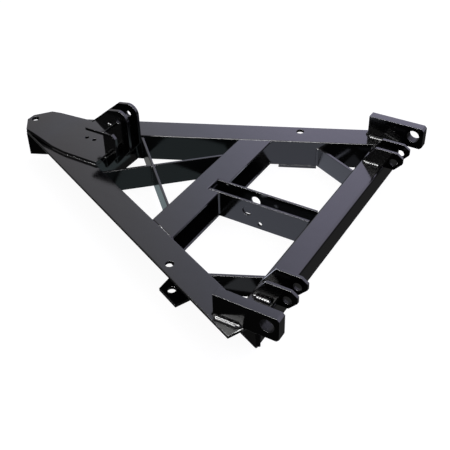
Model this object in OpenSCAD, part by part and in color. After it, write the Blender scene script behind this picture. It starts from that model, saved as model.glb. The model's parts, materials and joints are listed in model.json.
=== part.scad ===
// Snow plow A-frame: the welded triangular push frame between a plow blade and the mount under
// a truck. Two angle-iron rails meet at a pivot nose. A channel, a square tube, flat bars and
// gussets tie them together, and mount plates and ears at the rear take the mount's pins.
// The nose points along -Y, the truck is on the +Y side, and +X is the frame's left-hand side.
// The origin lies on the ground under the middle of the frame.
// Outlines of upright plates are drawn as [station, level]: a station is a distance behind the
// apex, where the rails' inner faces meet, and a level is a height above the rails' top faces.

/* [Rails] */
// Leg width of the steel angle
angle_leg = 76; // [74:1:80]
// Thickness of the steel angle
angle_t = 8; // [6:0.5:9]
// Angle between a rail and the centreline, in degrees
rail_angle = 24.56; // [24.3:0.02:24.8]
// Length of a rail behind the apex, measured along its inner face
rail_length = 908; // [898:5:918]
// How far the flanges reach ahead of the apex
flange_reach = 94; // [88:1:98]

/* [Angling ram tabs] */
// Thickness of the tabs under the rails
tab_t = 8; // [6:1:10]
// Diameter of the ram pin holes
ram_pin_d = 20; // [16:1:24]
// Place of the ram pin holes along the rails
ram_back = 652; // [646:1:656]
// Distance of the ram pin holes from the rails' inner faces
ram_out = 53; // [50:1:56]

/* [Nose plate] */
// Thickness of the nose plate
nose_t = 9.5; // [8:0.5:12]
// How much higher the front of the plate stands than its rear
nose_step = 8; // [6:1:10]
// Diameter of the pivot bolt hole
pivot_d = 20; // [16:1:24]
// Diameter of the two small holes
small_hole_d = 11; // [8:1:13]

/* [Cross channel] */
// Distance of the channel behind the apex
channel_front = 445; // [435:1:450]
// Width of the channel, front to back
channel_w = 79; // [75:1:82]
// Height of the channel
channel_h = 75; // [73:1:76]
// Wall thickness of the channel
channel_t = 8; // [6:1:9]

/* [Rear tube] */
// Distance of the rear tube behind the apex
tube_front = 769.5; // [766:0.5:773]
// Outer size of the square rear tube
tube_size = 63.5; // [60:0.5:66]
// Wall thickness of the rear tube
tube_t = 6.5; // [5:0.5:8]

/* [Bracing] */
// Thickness of the crossed brace bars
brace_t = 6.5; // [5:0.5:8]
// Height of the crossed brace bars
brace_h = 63.5; // [60:0.5:66]
// Thickness of the corner gussets
gusset_t = 8; // [6:1:10]
// Height of the corner gussets
gusset_h = 58; // [54:1:58]

/* [Centre bars] */
// Thickness of the centre bars
bar_t = 6.5; // [5:0.5:8]
// Height of the centre bars
bar_h = 72; // [70:1:74]
// Clear width between the centre bars
bar_gap = 37.5; // [34:0.5:40]
// Diameter of the large cross bore
centre_bore_d = 26; // [20:1:28]
// Diameter of the small cross bore
small_bore_d = 12; // [8:1:14]

/* [Lift bracket] */
// Thickness of the bracket's cheeks
cheek_t = 9.5; // [8:0.5:10]
// Clear width between the centre cheek and the right cheek
clevis_gap = 33.25; // [32:0.25:35]
// Diameter of the bore for the lift chain's pin
lift_bore_d = 16; // [12:1:20]
// Thickness of the upright plate between the rails that the cheeks hang on
nose_web_t = 9.5; // [8:0.5:10]

/* [Rear mounts] */
// Thickness of the mount plates
mount_t = 25; // [22:1:26]
// Distance between the middles of the mount plates
mount_spacing = 799; // [795:1:803]
// Diameter of the mount pin bores
mount_pin_d = 32; // [26:1:36]
// Thickness of the ears
ear_t = 8; // [6:1:10]
// Clear gap inside each pair of ears
ear_gap = 38.5; // [37:0.5:40]
// Distance between the middles of the two pairs of ears
ear_spacing = 581.5; // [578:0.5:585]
// Diameter of the ear pin bores
ear_pin_d = 20; // [16:1:24]

/* [Hidden] */
$fn = 96;

left = 1;
right = -1;
paint = [0.08, 0.08, 0.09];
// Reaches past every part of the frame
far = 1200;
// How far a cut runs past the faces that it opens
over = 1;

// The underside of the tabs is on the ground
rail_top = angle_leg + tab_t;
apex_y = -390;
nose_front = -110;
nose_rear = 186;
root_r = 8;
// The rails' front ends, far enough ahead to be cut square across at the flanges' front edge
rail_lead = (flange_reach + angle_leg * sin(rail_angle)) / cos(rail_angle);

// Half the width between the rails' inner faces at a station
function inner_x(station) = station * tan(rail_angle);

// Mirrors the left side's shape for the right side
module to_side(side) {
    mirror([side < 0 ? 1 : 0, 0, 0])
        children();
}

// Local +Y runs rearward along a rail's inner face, and local +X points outward from it
module along_rail(side) {
    to_side(side)
        translate([0, apex_y, 0])
            rotate(-rail_angle)
                children();
}

// An upright plate across X, whose outline is drawn as [station, level]
module side_plate(from_x, thickness) {
    translate([from_x, apex_y, rail_top])
        rotate([90, 0, 90])
            linear_extrude(thickness)
                children();
}

// The space of a round hole along X
module cross_hole(station, level, d) {
    translate([-far, apex_y + station, rail_top + level])
        rotate([0, 90, 0])
            cylinder(d = d, h = 2 * far);
}

// A block that takes away everything ahead of a station
module ahead_of(station) {
    translate([-far, apex_y + station - far, -far])
        cube([2 * far, far, 2 * far]);
}

// The space between the rails' inner faces
module between_rails() {
    translate([0, apex_y, 0])
        linear_extrude(far)
            polygon([[0, 0], [inner_x(far), far], [-inner_x(far), far]]);
}

// ---- Rails and the tabs under them ----

// The rolled angle: its flange lies outward at the top, its web stands on the inner side
module angle_profile() {
    translate([0, -angle_leg])
        square([angle_t, angle_leg]);
    translate([0, -angle_t])
        square([angle_leg, angle_t]);
    difference() {
        translate([angle_t, -angle_t - root_r])
            square(root_r);
        translate([angle_t + root_r, -angle_t - root_r])
            circle(r = root_r);
    }
}

module rail_bar(side) {
    along_rail(side)
        translate([0, rail_length, rail_top])
            rotate([90, 0, 0])
                linear_extrude(rail_length + rail_lead)
                    angle_profile();
}

module ram_hole(side) {
    along_rail(side)
        translate([ram_out, ram_back, -over])
            cylinder(d = ram_pin_d, h = rail_top + 2 * over);
}

pivot_station = -93;
// The flanges stay clear of the pivot bolt
pivot_relief = 4;

module pivot_hole(d) {
    translate([0, apex_y + pivot_station, tab_t])
        cylinder(d = d, h = far);
}

module rail_left() {
    color(paint)
        difference() {
            rail_bar(left);
            // The flanges meet on the centreline
            translate([-far, -far, 0])
                cube([far, 2 * far, far]);
            // The left web stops against the right rail's web
            along_rail(right)
                translate([0, -far, -angle_t])
                    cube([far, 2 * far, rail_top]);
            ahead_of(-flange_reach);
            ram_hole(left);
            pivot_hole(pivot_d + pivot_relief);
        }
}

module rail_right() {
    color(paint)
        difference() {
            rail_bar(right);
            // Only the flange stops at the centreline: the web runs on under the left flange
            translate([0, -far, rail_top - angle_t])
                cube([far, 2 * far, far]);
            ahead_of(-flange_reach);
            ram_hole(right);
            pivot_hole(pivot_d + pivot_relief);
        }
}

module ram_tab(side) {
    outer = angle_leg - 2.5;
    color(paint)
        difference() {
            along_rail(side)
                linear_extrude(tab_t)
                    polygon([[0, 597], [0, 700], [outer, 700], [outer, 631]]);
            ram_hole(side);
        }
}

module ram_tab_left() {
    ram_tab(left);
}

module ram_tab_right() {
    ram_tab(right);
}

// ---- Nose plate ----

// Side view: flat on the rails at the rear, and raised ahead of a short ramp
module nose_profile() {
    ramp_rear = 30;
    ramp_front = -50;
    polygon([
        [nose_rear, 0],
        [ramp_rear, 0],
        [ramp_front, nose_step],
        [nose_front, nose_step],
        [nose_front, nose_step + nose_t],
        [ramp_front, nose_step + nose_t],
        [ramp_rear, nose_t],
        [nose_rear, nose_t]
    ]);
}

nose_half_width = 86;

// Plan view, as half widths at stations
module nose_outline() {
    half = [[13, nose_front], [54, -78], [69, -7], [79, 38], [85, 80], [nose_half_width, nose_rear]];
    last = len(half) - 1;
    polygon([
        for (p = half) p,
        for (i = [last:-1:0]) [-half[i][0], half[i][1]]
    ]);
}

module nose_plate() {
    color(paint)
        difference() {
            intersection() {
                side_plate(-nose_half_width, 2 * nose_half_width)
                    nose_profile();
                translate([0, apex_y, 0])
                    linear_extrude(far)
                        nose_outline();
            }
            pivot_hole(pivot_d);
            for (station = [88, 113])
                translate([0, apex_y + station, 0])
                    cylinder(d = small_hole_d, h = far);
        }
}

// ---- Cross channel ----

bars_x = 8.75;
bars_w = bar_gap + 2 * bar_t;
notch_front = 493;

// The channel opens towards the rear
module channel_profile() {
    difference() {
        translate([channel_front, -channel_h])
            square([channel_w, channel_h]);
        translate([channel_front + channel_t, channel_t - channel_h])
            square([channel_w, channel_h - 2 * channel_t]);
    }
}

module cross_channel() {
    color(paint)
        difference() {
            intersection() {
                side_plate(-far / 2, far)
                    channel_profile();
                between_rails();
            }
            // The centre bars sit in a notch of the upper flange
            translate([bars_x - bars_w / 2, apex_y + notch_front, rail_top - channel_t - over])
                cube([bars_w, channel_w, channel_t + 2 * over]);
        }
}

// ---- Centre bars ----

module centre_bar(side) {
    chamfer = 3;
    color(paint)
        difference() {
            side_plate(bars_x + side * (bar_gap + bar_t) / 2 - bar_t / 2, bar_t)
                polygon([
                    [notch_front + chamfer, 0],
                    [tube_front, 0],
                    [tube_front, -bar_h],
                    [channel_front + channel_w, -bar_h],
                    [channel_front + channel_w, channel_t - channel_h],
                    [notch_front, channel_t - channel_h],
                    [notch_front, -chamfer]
                ]);
            cross_hole(604, -28, centre_bore_d);
            cross_hole(640, -57, small_bore_d);
        }
}

module centre_bar_left() {
    centre_bar(left);
}

module centre_bar_right() {
    centre_bar(right);
}

// ---- Rear tube ----

corner_r = 8;

// A square with round corners. The origin is where its front and top sides would meet.
module round_square(size, r) {
    translate([r, -size])
        square([size - 2 * r, size]);
    translate([0, r - size])
        square([size, size - 2 * r]);
    for (x = [r, size - r])
        for (y = [-r, r - size])
            translate([x, y])
                circle(r = r);
}

module rear_tube() {
    color(paint)
        intersection() {
            side_plate(-far / 2, far)
                translate([tube_front, 0])
                    difference() {
                        round_square(tube_size, corner_r);
                        translate([tube_t, -tube_t])
                            round_square(tube_size - 2 * tube_t, corner_r / 3);
                    }
            between_rails();
        }
}

// ---- Braces and gussets ----

// A flat bar on edge from one point to another, each given as [x, station]. Local +X is to the
// right of the way along the bar.
module flat_bar(from, to, thickness, height, top) {
    run = to - from;
    translate([from[0], apex_y + from[1], rail_top + top - height])
        rotate(atan2(run[1], run[0]) - 90)
            translate([-thickness / 2, -over, 0])
                cube([thickness, norm(run) + 2 * over, height]);
}

brace_top = -4;
// The bars are drawn this much too long at each end, and cut at the faces that they meet
overrun = 12;
long_from = [-93, 203.5];
long_to = [137, channel_front];
short_from = [98, 214.5];
short_to = [-121, channel_front];

function longer(from, to) = to + (to - from) / norm(to - from) * overrun;

module brace_bar(from, to) {
    intersection() {
        flat_bar(longer(to, from), longer(from, to), brace_t, brace_h, brace_top);
        between_rails();
        ahead_of(channel_front);
    }
}

// The half of the space on one side of the long brace: ahead of it or behind it
module beside_long_brace(side) {
    run = long_to - long_from;
    translate([long_from[0], apex_y + long_from[1], 0])
        rotate(atan2(run[1], run[0]) - 90)
            translate([side > 0 ? brace_t / 2 : -far - brace_t / 2, -far, 0])
                cube([far, 2 * far, far]);
}

module brace_long() {
    color(paint)
        brace_bar(long_from, long_to);
}

module brace_front() {
    color(paint)
        intersection() {
            brace_bar(short_from, short_to);
            beside_long_brace(1);
        }
}

module brace_rear() {
    color(paint)
        intersection() {
            brace_bar(short_from, short_to);
            beside_long_brace(-1);
        }
}

gusset_from = [294, 643];
gusset_to = [233, tube_front];

module gusset(side) {
    color(paint)
        intersection() {
            to_side(side)
                flat_bar(longer(gusset_to, gusset_from), longer(gusset_from, gusset_to),
                    gusset_t, gusset_h, gusset_h - angle_leg);
            between_rails();
            ahead_of(tube_front);
        }
}

module gusset_left() {
    gusset(left);
}

module gusset_right() {
    gusset(right);
}

// ---- Mount plates and ears ----

module mount_plate(side) {
    front = 739;
    rear = 890;
    height = 60;
    corner = 6;
    color(paint)
        difference() {
            side_plate(side * mount_spacing / 2 - mount_t / 2, mount_t)
                polygon([
                    [front, 0],
                    [rear - corner, 0],
                    [rear, corner],
                    [rear, height - corner],
                    [rear - corner, height],
                    [front, height]
                ]);
            cross_hole(863, 33, mount_pin_d);
        }
}

module mount_plate_left() {
    mount_plate(left);
}

module mount_plate_right() {
    mount_plate(right);
}

// place is 1 for the outer ear of a pair and -1 for the inner one
module ear(side, place) {
    middle = side * (ear_spacing / 2 + place * (ear_gap + ear_t) / 2);
    color(paint)
        difference() {
            side_plate(middle - ear_t / 2, ear_t)
                polygon([[776, 0], [862, 0], [882, 22], [882, 38], [866, 49], [808, 49], [776, 4]]);
            cross_hole(859, 22, ear_pin_d);
        }
}

module ear_left_outer() {
    ear(left, 1);
}

module ear_left_inner() {
    ear(left, -1);
}

module ear_right_inner() {
    ear(right, -1);
}

module ear_right_outer() {
    ear(right, 1);
}

// ---- Lift bracket ----

bore_station = 208;
bore_level = 96;
crown_r = 28.5;
shelf_level = 70;
shelf_t = 8;
// The upright plate between the rails stands this much proud of the nose plate's rear edge
foot_gap = 1.5;
nose_web_rear = nose_rear + foot_gap;
cheek_centre_x = -cheek_t / 2;
cheek_right_x = cheek_centre_x - clevis_gap - cheek_t;
cheek_left_x = -cheek_right_x - cheek_t;

// A tall cheek: a beak towards the nose, a round crown over the bore, and a foot whose rear edge
// slants back to the upright plate between the rails
module tall_cheek_outline() {
    rear = bore_station + crown_r;
    crown = bore_level + crown_r;
    difference() {
        polygon([
            [119, 64],
            [119, 71],
            [177, 119],
            [bore_station, crown],
            [rear, crown],
            [rear, 14],
            [nose_web_rear, -42.5],
            [nose_web_rear, nose_t],
            [150, nose_t],
            [150, 64]
        ]);
        // Rounds the crown off
        difference() {
            translate([bore_station, bore_level])
                square(crown_r + over);
            translate([bore_station, bore_level])
                circle(r = crown_r);
        }
    }
}

module low_cheek_outline() {
    top = shelf_level + shelf_t;
    polygon([[nose_web_rear, -30], [nose_web_rear, top], [216, top], [226, top - 10], [226, 14]]);
}

module tall_cheek(from_x) {
    color(paint)
        difference() {
            side_plate(from_x, cheek_t)
                tall_cheek_outline();
            cross_hole(bore_station, bore_level, lift_bore_d);
        }
}

module cheek_left() {
    color(paint)
        side_plate(cheek_left_x, cheek_t)
            low_cheek_outline();
}

module cheek_centre() {
    tall_cheek(cheek_centre_x);
}

module cheek_right() {
    tall_cheek(cheek_right_x);
}

// The shelf stands out from the centre cheek and passes over the low cheek's front edge
module bracket_shelf() {
    from_x = cheek_centre_x + cheek_t;
    color(paint)
        side_plate(from_x, cheek_left_x + cheek_t - from_x)
            translate([131, shelf_level])
                square([nose_web_rear - 131, shelf_t]);
}

// Stands across between the rails, under the rear edge of the nose plate
module nose_web() {
    color(paint)
        intersection() {
            side_plate(-far / 2, far)
                translate([nose_web_rear - nose_web_t, -angle_leg])
                    square([nose_web_t, angle_leg]);
            between_rails();
        }
}

rail_left();
rail_right();
nose_plate();
cross_channel();
rear_tube();
centre_bar_left();
centre_bar_right();
brace_long();
brace_front();
brace_rear();
gusset_left();
gusset_right();
ram_tab_left();
ram_tab_right();
mount_plate_left();
mount_plate_right();
ear_left_outer();
ear_left_inner();
ear_right_inner();
ear_right_outer();
cheek_left();
cheek_centre();
cheek_right();
bracket_shelf();
nose_web();
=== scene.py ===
"""Looks of the snow plow A-frame: softened steel edges, weld beads, black powder coat and a pale studio."""

import json
import math
import random

import bmesh
import bpy
from mathutils import Matrix, Vector


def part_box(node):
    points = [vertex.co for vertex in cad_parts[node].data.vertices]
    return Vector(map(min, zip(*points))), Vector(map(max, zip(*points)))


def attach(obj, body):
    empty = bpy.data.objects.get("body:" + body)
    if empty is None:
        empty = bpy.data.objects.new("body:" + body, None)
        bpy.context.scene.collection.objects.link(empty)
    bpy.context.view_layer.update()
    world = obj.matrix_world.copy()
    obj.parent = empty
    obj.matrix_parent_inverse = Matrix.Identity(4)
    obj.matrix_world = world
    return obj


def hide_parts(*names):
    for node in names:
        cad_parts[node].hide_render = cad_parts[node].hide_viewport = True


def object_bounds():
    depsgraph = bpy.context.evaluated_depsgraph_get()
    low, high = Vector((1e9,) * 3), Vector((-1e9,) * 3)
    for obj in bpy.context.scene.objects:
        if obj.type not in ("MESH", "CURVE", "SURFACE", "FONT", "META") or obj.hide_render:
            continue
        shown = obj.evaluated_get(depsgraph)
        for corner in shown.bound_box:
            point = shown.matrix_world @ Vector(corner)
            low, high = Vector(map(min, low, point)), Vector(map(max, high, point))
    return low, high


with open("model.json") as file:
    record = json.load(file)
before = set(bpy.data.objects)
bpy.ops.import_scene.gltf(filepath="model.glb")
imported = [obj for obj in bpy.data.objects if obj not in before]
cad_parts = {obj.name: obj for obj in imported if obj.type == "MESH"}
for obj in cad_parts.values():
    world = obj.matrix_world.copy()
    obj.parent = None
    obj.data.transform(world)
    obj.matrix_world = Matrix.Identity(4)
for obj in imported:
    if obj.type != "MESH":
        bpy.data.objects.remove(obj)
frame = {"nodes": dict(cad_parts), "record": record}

cad_low, cad_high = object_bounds()

# ---- The frame's layout, in millimetres unless it says otherwise ----
# A station is a distance behind the apex, where the rails' inner faces meet.
# A level is a height above the rails' top faces.
# A bar's line runs from (width, station) to (width, station) along its middle plane.

MM = 0.001
UP = Vector((0, 0, 1))
BACK = Vector((0, 1, 0))
SIDES = {"left": 1, "right": -1}

RAIL_ANGLE = math.radians(24.56)
RAIL_END = 908
RAIL_LEG = 76
RAIL_STEEL = 8
WEB_REAR = 187.5
CHANNEL_FRONT = 445
CHANNEL_REAR = 524
TUBE_FRONT = 769.5
TUBE_REAR = 833
NOSE_TOP = 9.5
SHELF_LOW, SHELF_TOP = 70, 78
CHEEK_FACES = {"left": (37.75, 47.25), "centre": (-4.75, 4.75), "right": (-47.5, -38)}
BAR_HALF = 3.25
# The centre bars' middles, each under the way along X that its outer face looks
BAR_MIDDLES = {1: 30.75, -1: -13.25}
BRACE_HALF = 3.25
LONG_BRACE = ((-93, 203.5), (137, CHANNEL_FRONT))
SHORT_BRACE = ((98, 214.5), (-121, CHANNEL_FRONT))
GUSSET_HALF = 4
GUSSET_FOOT, GUSSET_TIP = (294, 643), (233, TUBE_FRONT)
PLATE_INNER, PLATE_OUTER = 387, 412
PLATE_FRONT = 739
EAR_HALF = 4
EAR_MIDDLES = (267.5, 314)

# In metres
RAIL_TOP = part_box("rail_left")[1].z
APEX_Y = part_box("rear_tube")[0].y - TUBE_FRONT * MM


def at(x, station, level):
    """A point of the frame, given in millimetres."""
    return Vector((x * MM, APEX_Y + station * MM, RAIL_TOP + level * MM))


def along(side):
    """The way rearward along a rail."""
    return Vector((side * math.sin(RAIL_ANGLE), math.cos(RAIL_ANGLE), 0))


def outward(side):
    """The way out from the middle, square to a rail."""
    return Vector((side * math.cos(RAIL_ANGLE), -math.sin(RAIL_ANGLE), 0))


def on_rail(side, out, back, level):
    """A point given by its distance from a rail's inner face and its place along it, in millimetres."""
    point = outward(side) * out * MM + along(side) * back * MM
    return Vector((point.x, point.y + APEX_Y, RAIL_TOP + level * MM))


def inner_x(station):
    """Half the width between the rails' inner faces."""
    return station * math.tan(RAIL_ANGLE)


# ---- Materials ----

def new_material(name):
    material = bpy.data.materials.new(name)
    material.use_nodes = True
    return material, material.node_tree.nodes, material.node_tree.links


def noise_node(nodes, links, coordinates, scale, detail, roughness=0.55):
    node = nodes.new("ShaderNodeTexNoise")
    node.inputs["Scale"].default_value = scale
    node.inputs["Detail"].default_value = detail
    node.inputs["Roughness"].default_value = roughness
    links.new(coordinates, node.inputs["Vector"])
    return node.outputs["Fac"]


def ramp_node(nodes, links, factor, *stops):
    """A colour ramp through (place, colour) pairs."""
    node = nodes.new("ShaderNodeValToRGB")
    elements = node.color_ramp.elements
    while len(elements) < len(stops):
        elements.new(0.5)
    for element, (place, colour) in zip(elements, stops):
        element.position = place
        element.color = (*colour, 1)
    links.new(factor, node.inputs["Fac"])
    return node.outputs["Color"]


def range_node(nodes, links, value, low, high):
    """Spreads the middle of a noise over the range from low to high."""
    node = nodes.new("ShaderNodeMapRange")
    node.inputs["From Min"].default_value = 0.3
    node.inputs["From Max"].default_value = 0.7
    node.inputs["To Min"].default_value = low
    node.inputs["To Max"].default_value = high
    links.new(value, node.inputs["Value"])
    return node.outputs["Result"]


def math_node(nodes, links, operation, first, second):
    node = nodes.new("ShaderNodeMath")
    node.operation = operation
    for socket, value in zip(node.inputs, (first, second)):
        if isinstance(value, (int, float)):
            socket.default_value = value
        else:
            links.new(value, socket)
    return node.outputs["Value"]


def bump_node(nodes, links, height, strength, depth, under=None):
    node = nodes.new("ShaderNodeBump")
    node.inputs["Strength"].default_value = strength
    node.inputs["Distance"].default_value = depth
    links.new(height, node.inputs["Height"])
    if under is not None:
        links.new(under, node.inputs["Normal"])
    return node.outputs["Normal"]


def powder_coat(name, dark, light, gloss, peel=0.16):
    """Glossy black powder coat. gloss is the lowest and highest roughness, and peel is the strength of the
    fine orange peel."""
    material, nodes, links = new_material(name)
    shader = nodes["Principled BSDF"]
    place = nodes.new("ShaderNodeTexCoord").outputs["Object"]

    tone = noise_node(nodes, links, place, scale=9, detail=5)
    colour = ramp_node(nodes, links, tone, (0.3, dark), (0.7, light))
    links.new(colour, shader.inputs["Base Color"])

    # Broad smears in the gloss, and a fine haze of handling marks and dust
    smear_noise = noise_node(nodes, links, place, scale=14, detail=6, roughness=0.62)
    smears = range_node(nodes, links, smear_noise, *gloss)
    haze = noise_node(nodes, links, place, scale=210, detail=3)
    specks = math_node(nodes, links, "POWER", haze, 6)
    dust = math_node(nodes, links, "MULTIPLY", specks, 0.5)
    links.new(math_node(nodes, links, "ADD", smears, dust), shader.inputs["Roughness"])

    # Rolled steel is never quite flat, and the paint over it has a fine orange peel
    wave_noise = noise_node(nodes, links, place, scale=11, detail=2)
    waves = bump_node(nodes, links, wave_noise, strength=0.35, depth=1.2 * MM)
    peel_noise = noise_node(nodes, links, place, scale=620, detail=2)
    skin = bump_node(nodes, links, peel_noise, strength=peel, depth=0.25 * MM, under=waves)
    links.new(skin, shader.inputs["Normal"])

    shader.inputs["IOR"].default_value = 1.5
    return material


def bore_material():
    """The thin, rubbed coat inside the pin bores, with steel showing through in patches."""
    material, nodes, links = new_material("rubbed_bore")
    shader = nodes["Principled BSDF"]
    place = nodes.new("ShaderNodeTexCoord").outputs["Object"]
    rubbed = noise_node(nodes, links, place, scale=160, detail=6, roughness=0.7)
    coat, steel = (0.002, 0.002, 0.002), (0.03, 0.03, 0.029)
    colour = ramp_node(nodes, links, rubbed, (0.42, coat), (0.68, steel))
    links.new(colour, shader.inputs["Base Color"])
    links.new(range_node(nodes, links, rubbed, low=0.42, high=0.25), shader.inputs["Roughness"])
    shader.inputs["Specular IOR Level"].default_value = 0.18
    links.new(range_node(nodes, links, rubbed, low=0.0, high=0.3), shader.inputs["Metallic"])
    scratches = noise_node(nodes, links, place, scale=900, detail=2)
    relief = bump_node(nodes, links, scratches, strength=0.2, depth=0.15 * MM)
    links.new(relief, shader.inputs["Normal"])
    return material


paint = powder_coat(
    "black_powder_coat", dark=(0.0008, 0.0008, 0.0009), light=(0.0018, 0.0018, 0.002), gloss=(0.08, 0.14))
# The coat on the rounded edges is lighter than on the faces: partly a thinner coat over the edges, partly a
# painted highlight along them.
edge_coat_and_highlight = powder_coat(
    "powder_coat_on_edges_and_highlight", dark=(0.003, 0.003, 0.0032), light=(0.012, 0.012, 0.0125), gloss=(0.1, 0.2),
    peel=0.1)
weld_paint = powder_coat(
    "powder_coat_on_welds", dark=(0.001, 0.001, 0.0011), light=(0.004, 0.004, 0.0042), gloss=(0.08, 0.18),
    peel=0.3)
bore_steel = bore_material()

# ---- Plates, bars and rails with softened edges ----

# A softened piece's materials
MAIN_FACES, EDGE_FACES, BORE_FACES = 0, 1, 2

# The rails' and the channel's long edges keep a wider round than flame-cut plates.
# The tube's own corners are already round in the frame.
ROLLED_PIECES = ("rail_left", "rail_right", "cross_channel")
EDGE_ROUND = 0.9 * MM
WIDE_ROUND = 2.4 * MM
RIM_ROUND = 1.1 * MM
LONG_EDGE = 20 * MM
SHARP_ANGLE = math.radians(28)
FLAT_ANGLE = math.radians(0.6)
MERGE_DISTANCE = 0.005 * MM
BORE_TOLERANCE = 0.25 * MM
LARGE_FACE_WEIGHT = 80


def pin_bores():
    """Every bore in the record, as (a point on its axis, its axis, its radius)."""
    bores = []
    for mount in frame["record"]["mounts"]:
        dims = mount["dims"]
        radius = dims.get("r_mm") or dims.get("hole_r_mm")
        if not radius:
            continue
        middle = Vector(mount["pos_m"])
        axis = Vector(mount["axis"]).normalized()
        half_step = dims.get("spacing_y_mm", 0) / 2 * MM
        for step in sorted({-half_step, half_step}):
            bores.append((middle + BACK * step, axis, radius * MM))
    return bores


def around_bore(verts, bores):
    """Whether all the vertices stand at a bore's radius from its axis."""
    for centre, axis, radius in bores:
        if all(abs((v.co - centre).cross(axis).length - radius) < BORE_TOLERANCE for v in verts):
            return True
    return False


def round_edges(bm, edges, width, clamped=True):
    bmesh.ops.bevel(
        bm, geom=edges, offset=width, segments=2, profile=0.5, affect="EDGES", clamp_overlap=clamped,
        material=EDGE_FACES)


def sharp_edges(bm):
    return [e for e in bm.edges if len(e.link_faces) == 2 and e.calc_face_angle() > SHARP_ANGLE]


def finish_mesh(name, bm, materials):
    """Turns bm into a smooth-shaded object that rides on the frame's body."""
    mesh = bpy.data.meshes.new(name)
    bm.to_mesh(mesh)
    bm.free()
    mesh.polygons.foreach_set("use_smooth", [True] * len(mesh.polygons))
    for material in materials:
        mesh.materials.append(material)
    piece = bpy.data.objects.new(name, mesh)
    bpy.context.scene.collection.objects.link(piece)
    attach(piece, "root")
    return piece


def soften(node, bores):
    """A painted piece in a CAD node's exact shape, with its sharp edges rounded and its bores rubbed. The
    weighted normals keep its flat faces flat."""
    bm = bmesh.new()
    bm.from_mesh(frame["nodes"][node].data)
    bmesh.ops.remove_doubles(bm, verts=bm.verts, dist=MERGE_DISTANCE)
    bmesh.ops.dissolve_limit(bm, angle_limit=FLAT_ANGLE, verts=bm.verts, edges=bm.edges)
    outline = [e for e in sharp_edges(bm) if not around_bore(e.verts, bores)]
    if node in ROLLED_PIECES:
        round_edges(bm, [e for e in outline if e.calc_length() > LONG_EDGE], WIDE_ROUND, clamped=False)
    else:
        round_edges(bm, outline, EDGE_ROUND)
    rims = [e for e in sharp_edges(bm) if around_bore(e.verts, bores)]
    round_edges(bm, rims, RIM_ROUND)
    bmesh.ops.recalc_face_normals(bm, faces=bm.faces)
    for face in bm.faces:
        if face.material_index == MAIN_FACES and around_bore(face.verts, bores):
            face.material_index = BORE_FACES
    piece = finish_mesh(node + "_painted", bm, (paint, edge_coat_and_highlight, bore_steel))
    weighted = piece.modifiers.new("flat_faces", "WEIGHTED_NORMAL")
    weighted.weight = LARGE_FACE_WEIGHT
    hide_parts(node)


bores = pin_bores()
for node in sorted(frame["nodes"]):
    soften(node, bores)

# ---- Weld beads ----

RING_STEP = 1.2 * MM
SECTION_STEPS = 6
# How far the section bulges from a straight line towards a quarter round
BULGE = 0.5
RIPPLE = 6 * MM
WAVER_LENGTH = 17 * MM
# Shares of the bead's leg
WAVER = 0.07
JITTER = 0.02
ROOT_DEPTH = 0.35
STOP_LENGTH = 0.8
STOP_SIZE = 0.1
RIPPLE_HEIGHT = 0.17
# Shares of a ripple's length: how far its middle runs ahead, and where its crest stands
RIPPLE_LEAD = 0.55
RIPPLE_CREST = 0.62
# Below 1, the crest is sharp
RIPPLE_SHAPE = 0.7


def path_points(corners):
    """Points about a ring's step apart along straight runs between corners, each with its distance from the
    start, and the path's whole length."""
    points = [(corners[0].copy(), 0.0)]
    total = 0.0
    for start, end in zip(corners, corners[1:]):
        run = end - start
        steps = max(2, round(run.length / RING_STEP))
        for i in range(1, steps + 1):
            points.append((start + run * i / steps, total + run.length * i / steps))
        total += run.length
    return points, total


def stop_taper(near_end, leg):
    """How full the bead is at a distance from its nearer end: it swells from a small tip, then rounds off."""
    rise = min(1.0, near_end / (STOP_LENGTH * leg))
    return math.sqrt(max(0.0, 1 - (1 - rise) ** 2)) * (1 - STOP_SIZE) + STOP_SIZE


def bead(bm, corners, first, second, leg, rng):
    """Adds one weld bead to bm, along a corner between two faces. first and second point along each face,
    away from the corner. The bead ends in rounded stops."""
    points, total = path_points(corners)
    phase = rng.uniform(0, 1)
    wander = rng.uniform(0, 6)
    rings = []
    for point, distance in points:
        taper = stop_taper(min(distance, total - distance), leg)
        waver = WAVER * math.sin(distance / WAVER_LENGTH + wander)
        size = leg * taper * (1 + waver + rng.uniform(-JITTER, JITTER))
        ring = [point - (first + second) * ROOT_DEPTH * size]
        for k in range(SECTION_STEPS + 1):
            t = k / SECTION_STEPS
            angle = t * math.pi / 2
            straight = first * (1 - t) + second * t
            arched = first * math.cos(angle) + second * math.sin(angle)
            shape = straight.lerp(arched, BULGE)
            # Each ripple is a crescent: it runs ahead in the middle of the bead
            lead = 4 * t * (1 - t) * RIPPLE_LEAD
            turn = (distance / RIPPLE + lead + phase) % 1
            crest = 1 - 2 * abs(turn - RIPPLE_CREST) ** RIPPLE_SHAPE
            ripple = RIPPLE_HEIGHT * math.sin(math.pi * t) * crest
            ring.append(point + shape * size * (1 + ripple))
        rings.append([bm.verts.new(p) for p in ring])
    count = len(rings[0])
    for near, beyond in zip(rings, rings[1:]):
        for k in range(count):
            bm.faces.new((near[k], near[(k + 1) % count], beyond[(k + 1) % count], beyond[k]))
    bm.faces.new(rings[0][::-1])
    bm.faces.new(rings[-1])


def weld(name, beads):
    """One piece of weld, from beads given as (corner points, first way, second way, leg in mm)."""
    rng = random.Random(name)
    bm = bmesh.new()
    for corners, first, second, leg in beads:
        bead(bm, corners, first.normalized(), second.normalized(), leg * MM, rng)
    bmesh.ops.recalc_face_normals(bm, faces=bm.faces)
    finish_mesh("weld_" + name, bm, (weld_paint,))


def sideways(way):
    """The way towards +X where way is 1, and towards -X where it is -1."""
    return Vector((way, 0, 0))


def upright(x, station, low, high):
    """A bead's path up an edge, from one level to another."""
    return [at(x, station, low), at(x, station, high)]


def rearward(x, front, rear, level=0):
    """A bead's path straight back, from one station to another."""
    return [at(x, front, level), at(x, rear, level)]


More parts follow.
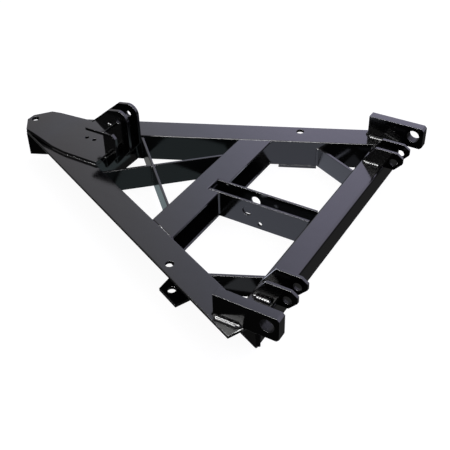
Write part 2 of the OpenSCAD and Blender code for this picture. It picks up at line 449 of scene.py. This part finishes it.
def weld_mount_plates():
    """Two runs beside each other along both sides of a plate's foot, and one across its front."""
    front = PLATE_FRONT + 3
    # Just ahead of the rail's slanting rear end
    outer_end, inner_end = 806, 818
    second_run = 4
    side_leg, front_leg = 6.5, 7
    for name, side in SIDES.items():
        outer, inner = side * PLATE_OUTER, side * PLATE_INNER
        out = sideways(side)
        weld(f"mount_plate_{name}", [
            (rearward(outer, front, outer_end), out, UP, side_leg),
            (rearward(outer + side * second_run, front + 2, outer_end - 7), out, UP, side_leg),
            (rearward(inner, front, inner_end), -out, UP, side_leg),
            (rearward(inner - side * second_run, front + 2, inner_end - 4), -out, UP, side_leg),
            ([at(inner + side, PLATE_FRONT, 0), at(outer - side, PLATE_FRONT, 0)], -BACK, UP, front_leg),
        ])


def weld_ears():
    """A bead along each side of an ear's foot, with a fatter one outside the outer ear's."""
    front, rear = 779, 824
    fat_run = EAR_MIDDLES[-1] + EAR_HALF + 3
    leg, fat_leg = 6.5, 9
    for name, side in SIDES.items():
        beads = []
        for middle in EAR_MIDDLES:
            for face in (-1, 1):
                x = side * (middle + face * EAR_HALF)
                beads.append((rearward(x, front, rear), sideways(side * face), UP, leg))
        beads.append((rearward(side * fat_run, front + 6, rear + 2), sideways(side), UP, fat_leg))
        weld(f"ears_{name}", beads)


def weld_rear_tube():
    """Beads in front of the tube's ends, on top of them, and up the rails' rear ends."""
    tube_low, tube_high = -57, -7
    lean = UP * 0.35
    for name, side in SIDES.items():
        inward = sideways(-side)
        front = upright(side * inner_x(TUBE_FRONT), TUBE_FRONT, tube_low, tube_high)
        # The tops are flush, so this bead leans up out of the seam
        seam = [at(side * inner_x(station), station, 0) for station in (TUBE_FRONT + 5, TUBE_REAR - 9)]
        back = [on_rail(side, 0, RAIL_END, level) for level in (4 - RAIL_LEG, -4)]
        weld(f"rear_tube_{name}", [
            (front, inward, -along(side), 6),
            (seam, inward + lean, outward(side) + lean, 5),
            (back, outward(side), along(side), 7),
        ])


def weld_channel():
    """Beads up the rails' inner faces: one in front of the channel, and one behind each of its flanges."""
    front_leg, rear_leg = 5.5, 5
    upper_flange, lower_flange = (-8, -1), (2 - RAIL_LEG, 9 - RAIL_LEG)
    for name, side in SIDES.items():
        inward = sideways(-side)
        front_x, rear_x = side * inner_x(CHANNEL_FRONT), side * inner_x(CHANNEL_REAR)
        weld(f"channel_{name}", [
            (upright(front_x, CHANNEL_FRONT, 3 - RAIL_LEG, -3), inward, -along(side), front_leg),
            (upright(rear_x, CHANNEL_REAR, *upper_flange), inward, along(side), rear_leg),
            (upright(rear_x, CHANNEL_REAR, *lower_flange), inward, along(side), rear_leg),
        ])


def weld_centre_bars():
    """Beads on the bars' faces, in front of the tube and at the channel's rear edge. There the inner faces
    have only a short one, on the channel's upper flange."""
    low = -66
    # The tube's upper corner is round
    tube_high = -8
    flange_low, flange_high = -8, -1
    leg, short_leg = 4.5, 4
    beads = []
    for outside, middle in BAR_MIDDLES.items():
        for face in (-1, 1):
            x = middle + face * BAR_HALF
            out = sideways(face)
            beads.append((upright(x, TUBE_FRONT, low, tube_high), out, -BACK, leg))
            if face == outside:
                beads.append((upright(x, CHANNEL_REAR, low, flange_high), out, BACK, leg))
            else:
                beads.append((upright(x, CHANNEL_REAR, flange_low, flange_high), out, BACK, short_leg))
    weld("centre_bars", beads)


def bar_line(start, end):
    """Where an upright bar starts, the way along it and the way across it."""
    start, end = Vector((*start, 0)), Vector((*end, 0))
    way = (end - start).normalized()
    return start, way, Vector((way.y, -way.x, 0))


def bar_end_beads(line, side, half, foot_levels, tip_levels, leg):
    """Beads on both faces of an upright bar, at its foot on a rail's inner face and at its tip on the front
    of a crossmember."""
    start, way, across = bar_line(*line)
    tip_middle, wall = Vector((*line[1], 0)), line[1][1]
    beads = []
    for face in (-1, 1):
        # Both corners slide along the bar's face to the plane that the bar meets there
        foot = start + across * face * half
        foot = foot - way * foot.dot(outward(side)) / way.dot(outward(side))
        rail_way = along(side) if along(side).dot(across) * face > 0 else -along(side)
        beads.append((upright(foot.x, foot.y, *foot_levels), rail_way, way, leg))
        tip = tip_middle + across * face * half
        tip = tip - way * (tip.y - wall) / way.y
        wall_way = sideways(1 if across.x * face > 0 else -1)
        beads.append((upright(tip.x, tip.y, *tip_levels), wall_way, -way, leg))
    return beads


def weld_braces():
    """The braces' ends on the rails and on the channel."""
    levels = (-66, -6)
    beads = []
    for line, side in ((LONG_BRACE, SIDES["right"]), (SHORT_BRACE, SIDES["left"])):
        beads += bar_end_beads(line, side, BRACE_HALF, levels, levels, 4.5)
    weld("brace_ends", beads)


def weld_brace_crossing():
    """A bead in each of the four corners where the braces cross."""
    long_start, long_way, long_across = bar_line(*LONG_BRACE)
    short_start, short_way, short_across = bar_line(*SHORT_BRACE)
    turn = long_way.x * -short_way.y + long_way.y * short_way.x
    low, high = -66, -5
    beads = []
    for long_face in (-1, 1):
        for short_face in (-1, 1):
            # The corner between one face of the long brace and one face of the short one
            long_from = long_start + long_across * long_face * BRACE_HALF
            offset = short_start + short_across * short_face * BRACE_HALF - long_from
            corner = long_from + long_way * ((offset.x * -short_way.y + offset.y * short_way.x) / turn)
            away_long = long_way if long_way.dot(short_across) * short_face > 0 else -long_way
            away_short = short_way if short_way.dot(long_across) * long_face > 0 else -short_way
            beads.append((upright(corner.x, corner.y, low, high), away_long, away_short, 4))
    weld("brace_crossing", beads)


def weld_gussets():
    """The gussets' ends on the rails and on the rear tube."""
    top = -19
    rail_levels, tube_levels = (2 - RAIL_LEG, top), (-62, top)
    for name, side in SIDES.items():
        line = [(side * x, station) for x, station in (GUSSET_FOOT, GUSSET_TIP)]
        weld(f"gusset_{name}", bar_end_beads(line, side, GUSSET_HALF, rail_levels, tube_levels, 5))


def weld_nose_plate():
    """Thin beads along the plate's edges, from where it lies down on the rails to its rear."""
    edge = [(77.2, 32), (79, 38), (85, 80), (86, 184)]
    for name, side in SIDES.items():
        path = [at(side * x, station, 0) for x, station in edge]
        weld(f"nose_plate_{name}", [(path, sideways(side), UP, 2.5)])


def weld_bracket():
    """The feet of two cheeks on the nose plate, and the shelf on the centre cheek and on the left one."""
    foot_front, foot_rear = 151, 185
    # The bead on top of the shelf covers its rear end only
    top_front, shelf_front, shelf_rear = 171, 133, 186
    foot_leg, shelf_leg = 5, 4.5
    lean = UP * 0.3
    centre_low, centre_high = CHEEK_FACES["centre"]
    right_low, right_high = CHEEK_FACES["right"]
    left_low, left_high = CHEEK_FACES["left"]
    beads = []
    for x, way in ((centre_low, -1), (centre_high, 1), (right_high, 1), (right_low, -1)):
        beads.append((rearward(x, foot_front, foot_rear, NOSE_TOP), sideways(way), UP, foot_leg))
    left_edge_low = [at(x, WEB_REAR, SHELF_LOW) for x in (left_low + 1, left_high - 1)]
    left_edge_top = [at(x, WEB_REAR, SHELF_TOP) for x in (left_low + 1, left_high - 1)]
    beads += [
        (rearward(centre_high, top_front, shelf_rear, SHELF_TOP), sideways(1), UP, shelf_leg),
        (rearward(centre_high, shelf_front, shelf_rear, SHELF_LOW), sideways(1), -UP, shelf_leg),
        (left_edge_low, -BACK, -UP, shelf_leg),
        (left_edge_top, -BACK + lean, BACK + lean, shelf_leg),
    ]
    weld("bracket", beads)


def weld_nose_web():
    """The upright plate's ends on the rails, and the cheeks' feet on its rear face."""
    foot_top = 6
    for name, side in SIDES.items():
        end = upright(side * inner_x(WEB_REAR), WEB_REAR, 3 - RAIL_LEG, -2)
        weld(f"nose_web_{name}", [(end, sideways(-side), along(side), 5)])
    beads = []
    for cheek, low in (("right", -38), ("centre", -38), ("left", -27)):
        for x, way in zip(CHEEK_FACES[cheek], (-1, 1)):
            beads.append((upright(x, WEB_REAR, low, foot_top), sideways(way), BACK, 5))
    weld("cheek_feet", beads)


def weld_ram_tabs():
    """A bead on top of each tab, outside the rail's web."""
    front, rear = 603, 697
    for name, side in SIDES.items():
        path = [on_rail(side, RAIL_STEEL, back, -RAIL_LEG) for back in (front, rear)]
        weld(f"ram_tab_{name}", [(path, outward(side), UP, 5)])


weld_mount_plates()
weld_ears()
weld_rear_tube()
weld_channel()
weld_centre_bars()
weld_braces()
weld_brace_crossing()
weld_gussets()
weld_nose_plate()
weld_bracket()
weld_nose_web()
weld_ram_tabs()

# ---- Camera, floor and lights ----

WHITE = (1, 1, 1, 1)


def add_camera():
    """Looks down on the frame from its left rear corner."""
    place = (1.3945, 0.990, 1.221)
    look = Vector((-0.674, -0.416, -0.611)).normalized()
    level_right = Vector((-0.525, 0.851, 0)).normalized()
    level_up = level_right.cross(look)
    roll = math.radians(-1.46)
    right = level_right * math.cos(roll) + level_up * math.sin(roll)
    up = level_up * math.cos(roll) - level_right * math.sin(roll)
    turned = Matrix((right, up, -look)).transposed()
    sensor = 36
    half_view = math.radians(31.37 / 2)
    data = bpy.data.cameras.new("camera")
    data.sensor_width = sensor
    data.lens = sensor / 2 / math.tan(half_view)
    camera = bpy.data.objects.new("camera", data)
    camera.matrix_world = Matrix.Translation(place) @ turned.to_4x4()
    bpy.context.scene.collection.objects.link(camera)
    bpy.context.scene.camera = camera


def hide_from(piece, kinds):
    """Makes a piece invisible to some kinds of light ray."""
    for kind in kinds:
        setattr(piece, f"visible_{kind}", False)


def add_floor():
    """A wide pale floor just under the frame, with a faint shadow. Only the camera sees it: the dome and the
    glow cards light the paint from below."""
    bm = bmesh.new()
    bmesh.ops.create_grid(bm, x_segments=1, y_segments=1, size=40)
    mesh = bpy.data.meshes.new("floor")
    bm.to_mesh(mesh)
    bm.free()
    material, nodes, _ = new_material("pale_floor")
    shader = nodes["Principled BSDF"]
    shader.inputs["Base Color"].default_value = (0.14, 0.14, 0.14, 1)
    shader.inputs["Roughness"].default_value = 0.9
    shader.inputs["Specular IOR Level"].default_value = 0
    shader.inputs["Emission Color"].default_value = WHITE
    shader.inputs["Emission Strength"].default_value = 0.93
    mesh.materials.append(material)
    floor = bpy.data.objects.new("floor", mesh)
    floor.location.z = -1 * MM
    bpy.context.scene.collection.objects.link(floor)
    hide_from(floor, ("diffuse", "glossy", "shadow"))


def add_world():
    """A studio dome, plain pale to the camera. The object sees it bright overhead, most of all towards the
    right rear, and dim below, where a dark room lies beyond the floor."""
    overhead_stops = (
        (0.10, (0.24, 0.235, 0.24)), (0.39, (0.33, 0.32, 0.335)), (0.49, (0.435, 0.435, 0.475)),
        (0.60, (0.53, 0.54, 0.665)), (0.75, (0.745, 0.72, 0.95)), (1.0, (0.78, 0.76, 0.98)))
    overhead_strength = 2.3
    below_stops = (
        (0.11, (0.027, 0.027, 0.027)), (0.19, (0.04, 0.04, 0.04)), (0.3, (0.14, 0.145, 0.145)),
        (0.5, (0.02, 0.02, 0.02)), (0.77, (0.01, 0.01, 0.01)))
    below_strength = 2

    world = bpy.data.worlds.new("studio")
    world.use_nodes = True
    nodes, links = world.node_tree.nodes, world.node_tree.links
    nodes.clear()
    way = nodes.new("ShaderNodeTexCoord").outputs["Generated"]

    def share_towards(direction, low, high):
        """How far a direction of sight leans towards the given one, spread from low to high over 0 to 1."""
        dot = nodes.new("ShaderNodeVectorMath")
        dot.operation = "DOT_PRODUCT"
        links.new(way, dot.inputs[0])
        dot.inputs[1].default_value = direction
        spread = nodes.new("ShaderNodeMapRange")
        spread.inputs["From Min"].default_value = low
        spread.inputs["From Max"].default_value = high
        links.new(dot.outputs["Value"], spread.inputs["Value"])
        return spread.outputs["Result"]

    def background(colour, strength):
        node = nodes.new("ShaderNodeBackground")
        links.new(colour, node.inputs["Color"])
        node.inputs["Strength"].default_value = strength
        return node.outputs["Background"]

    def mixed(factor, first, second):
        node = nodes.new("ShaderNodeMixShader")
        links.new(factor, node.inputs["Fac"])
        links.new(first, node.inputs[1])
        links.new(second, node.inputs[2])
        return node.outputs["Shader"]

    to_right_rear = share_towards((-0.8, 0.6, 0), -0.2, 0.6)
    overhead = ramp_node(nodes, links, to_right_rear, *overhead_stops)
    to_left = share_towards((1, 0, 0), -1, 1)
    below = ramp_node(nodes, links, to_left, *below_stops)
    height = share_towards((0, 0, 1), 0.0, 0.34)
    dome = mixed(height, background(below, below_strength), background(overhead, overhead_strength))
    plain = nodes.new("ShaderNodeBackground")
    sight = nodes.new("ShaderNodeLightPath").outputs["Is Camera Ray"]
    plain.inputs["Color"].default_value = WHITE
    output = nodes.new("ShaderNodeOutputWorld")
    links.new(mixed(sight, dome, plain.outputs["Background"]), output.inputs["Surface"])
    bpy.context.scene.world = world


def both_sides(half):
    """A symmetrical outline from its left half, given front to rear."""
    return [*half, *[(-x, station) for x, station in reversed(half)]]


def add_glow_card(name, outline, colour):
    """A sheet of lit floor inside the frame, seen only in the paint. outline is in widths at stations."""
    points = [at(x, station, 0) for x, station in outline]
    height = 0.5 * MM
    mesh = bpy.data.meshes.new(name)
    mesh.from_pydata([(p.x, p.y, height) for p in points], [], [range(len(points))])
    material, nodes, _ = new_material(name)
    shader = nodes["Principled BSDF"]
    shader.inputs["Base Color"].default_value = (0, 0, 0, 1)
    shader.inputs["Specular IOR Level"].default_value = 0
    shader.inputs["Emission Color"].default_value = (*colour, 1)
    shader.inputs["Emission Strength"].default_value = 1
    mesh.materials.append(material)
    card = bpy.data.objects.new(name, mesh)
    bpy.context.scene.collection.objects.link(card)
    hide_from(card, ("camera", "diffuse", "shadow"))


def add_glow_cards():
    """The floor that shows in the paint inside the frame: ahead of the channel, behind it, and in the two
    corners behind the gussets."""
    rear_bay = ((241, 530), (298, 655), (236, 765))
    front_bay = ((95, 220), (196, 440))
    left_corner = ((312, 692), (346, 765), (262, 765))
    right_corner = [(-x, station) for x, station in left_corner]
    add_glow_card("rear_floor", both_sides(rear_bay), (0.95, 1.0, 1.2))
    add_glow_card("front_floor", both_sides(front_bay), (0.28, 0.35, 0.37))
    add_glow_card("left_corner_floor", left_corner, (0.4, 0.42, 0.46))
    add_glow_card("right_corner_floor", right_corner, (0.2, 0.21, 0.24))


def add_softbox(name, way, distance, width, height, power):
    """A soft rectangular light that faces the middle of the frame from the given way. Only gloss shows it."""
    data = bpy.data.lights.new(name, "AREA")
    data.shape = "RECTANGLE"
    data.size, data.size_y = width, height
    data.energy = power
    light = bpy.data.objects.new(name, data)
    way = Vector(way).normalized()
    middle = (cad_low + cad_high) / 2
    facing = way.to_track_quat("Z", "Y").to_matrix().to_4x4()
    light.matrix_world = Matrix.Translation(middle + way * distance) @ facing
    light.visible_diffuse = False
    bpy.context.scene.collection.objects.link(light)


add_camera()
add_floor()
add_world()
add_glow_cards()
add_softbox("key", way=(0.61, 0.09, 0.78), distance=3.0, width=2.6, height=0.8, power=250)
add_softbox("accent", way=(0.34, -0.43, 0.84), distance=3.0, width=0.8, height=0.5, power=90)
bpy.context.scene.view_settings.view_transform = "Standard"
